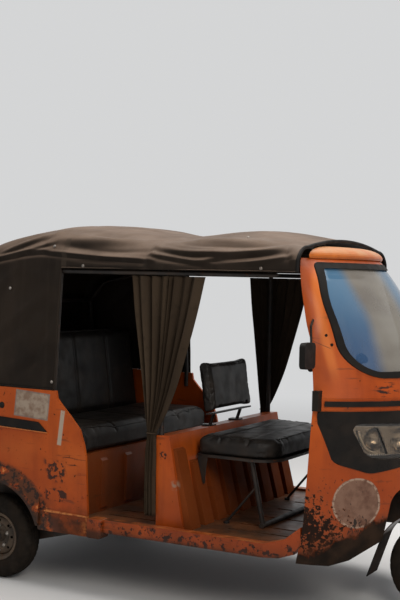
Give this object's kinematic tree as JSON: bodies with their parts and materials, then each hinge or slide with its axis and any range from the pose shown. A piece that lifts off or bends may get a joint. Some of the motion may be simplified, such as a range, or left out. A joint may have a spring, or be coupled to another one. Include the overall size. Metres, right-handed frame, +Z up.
{
  "type": "three-wheeled passenger auto rickshaw",
  "caption": "Open-sided passenger auto rickshaw with a rounded steel cowl, a cloth canopy over hoops, a slanted ribbed partition and a raked steered front wheel.",
  "frame": {"origin": "on the ground under the middle of the vehicle's overall box", "axes": "+X forward, +Y to the vehicle's left, +Z up"},
  "size_m": [2.645, 1.424, 1.7381],
  "materials": {
    "paint": "faded orange paint with rust and chips",
    "dark_red_paint": "dark red, dusty",
    "floor_paint": "worn orange under road dirt",
    "underbody": "matt black, dusty",
    "spring_steel": "dark painted steel",
    "steering_steel": "black painted steel",
    "bar_steel": "black bar with rubber grips",
    "tube_paint": "black paint",
    "tyre": "worn rubber",
    "rim_paint": "dark, dusty",
    "canvas": "coated grey-brown canvas",
    "vinyl": "black vinyl",
    "black_plastic": "textured black",
    "seal_rubber": "matt",
    "screen_glass": "clear with reflections",
    "lamp_glass": "clear",
    "lamp_bowl": "bright reflector",
    "tail_lamp_plastic": "red lens",
    "mirror_glass": "bright"
  },
  "bodies": {
    "chassis": {"rear_side_panels": "paint", "rear_panel": "paint", "seat_box": "paint", "partition": "paint", "front_apron": "paint", "windscreen_frame": "paint", "roof_visor": "paint", "door_sills": "paint", "floor_pan": "floor_paint", "chassis_frame": "underbody", "trailing_arms": "underbody", "front_wheelhouse": "underbody", "wheel_liners": "underbody", "engine_block": "underbody", "drive_shafts": "underbody", "silencer": "underbody", "rear_springs": "spring_steel", "hood_frame": "tube_paint", "driver_seat_frame": "tube_paint", "canopy": "canvas", "curtains": "canvas", "driver_seat": "vinyl", "driver_backrest": "vinyl", "passenger_seat": "vinyl", "passenger_backrest": "vinyl", "headlamp_housing": "black_plastic", "belt_trim": "black_plastic", "dashboard": "black_plastic", "mirrors": "black_plastic", "rear_bumper": "black_plastic", "windscreen_seal": "seal_rubber", "windscreen_glass": "screen_glass", "headlamp_lenses": "lamp_glass", "headlamp_bowls": "lamp_bowl", "tail_lamps": "tail_lamp_plastic", "mirror_glasses": "mirror_glass"},
    "steering": {"steering_fork": "steering_steel", "handlebar": "bar_steel", "front_mudguard": "dark_red_paint"},
    "engine_lid_body": {"engine_lid": "paint"},
    "front_wheel": {"front_tyre": "tyre", "front_rim": "rim_paint"},
    "rear_left_wheel": {"rear_left_tyre": "tyre", "rear_left_rim": "rim_paint"},
    "rear_right_wheel": {"rear_right_tyre": "tyre", "rear_right_rim": "rim_paint"}
  },
  "joints": [
    {"name": "steering_turn", "type": "hinge", "parent": "chassis", "child": "steering", "pos_m": [1.0675, 0, 0.203], "axis": [-0.4226, 0, 0.9063], "range_deg": [-40, 40]},
    {"name": "front_wheel_spin", "type": "hinge", "parent": "steering", "child": "front_wheel", "pos_m": [1.0675, 0, 0.203], "axis": [0, 1, 0], "continuous": true},
    {"name": "rear_left_wheel_spin", "type": "hinge", "parent": "chassis", "child": "rear_left_wheel", "pos_m": [-0.9175, 0.575, 0.203], "axis": [0, 1, 0], "continuous": true},
    {"name": "rear_right_wheel_spin", "type": "hinge", "parent": "chassis", "child": "rear_right_wheel", "pos_m": [-0.9175, -0.575, 0.203], "axis": [0, 1, 0], "continuous": true},
    {"name": "engine_lid_hinge", "type": "hinge", "parent": "chassis", "child": "engine_lid_body", "pos_m": [-1.3075, 0, 0.62], "axis": [0, 1, 0], "range_deg": [0, 80]}
  ]
}
